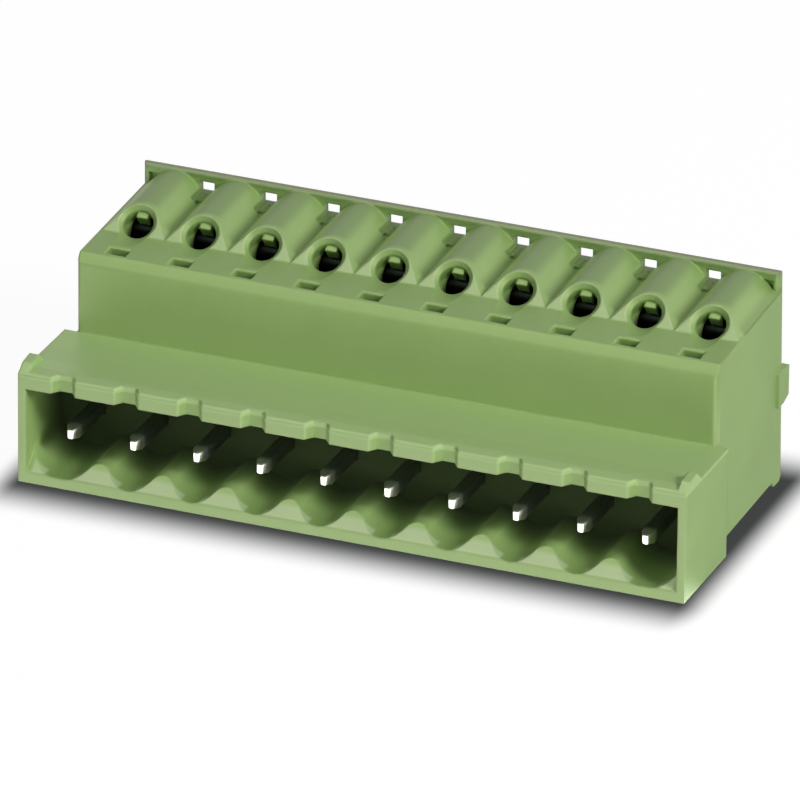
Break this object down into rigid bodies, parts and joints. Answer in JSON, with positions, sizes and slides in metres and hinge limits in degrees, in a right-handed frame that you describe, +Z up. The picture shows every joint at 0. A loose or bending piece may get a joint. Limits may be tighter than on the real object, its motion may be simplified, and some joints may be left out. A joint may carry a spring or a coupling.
{
  "type": "pluggable terminal block",
  "caption": "Green pluggable terminal block with a scalloped pin shroud, arched tubes with driver holes and test slots, and conductor funnels at the rear.",
  "frame": {"origin": "middle of the underside, in the plane that the block rests on", "axes": "+X along the row of poles, -Y towards the mouth of the pin shroud, +Z up"},
  "size_m": [0.053, 0.0234, 0.0174],
  "materials": {
    "housing_plastic": "satin moulded polyamide",
    "cover_plastic": "satin moulded polyamide",
    "tinned_metal": "bright tin plating",
    "spring_steel": "rolled spring steel"
  },
  "bodies": {
    "root": {"housing": "housing_plastic", "rear_cover": "cover_plastic", "contact_01": "tinned_metal", "spring_01": "spring_steel", "contact_02": "tinned_metal", "spring_02": "spring_steel", "contact_03": "tinned_metal", "spring_03": "spring_steel", "contact_04": "tinned_metal", "spring_04": "spring_steel", "contact_05": "tinned_metal", "spring_05": "spring_steel", "contact_06": "tinned_metal", "spring_06": "spring_steel", "contact_07": "tinned_metal", "spring_07": "spring_steel", "contact_08": "tinned_metal", "spring_08": "spring_steel", "contact_09": "tinned_metal", "spring_09": "spring_steel", "contact_10": "tinned_metal", "spring_10": "spring_steel"}
  },
  "joints": []
}
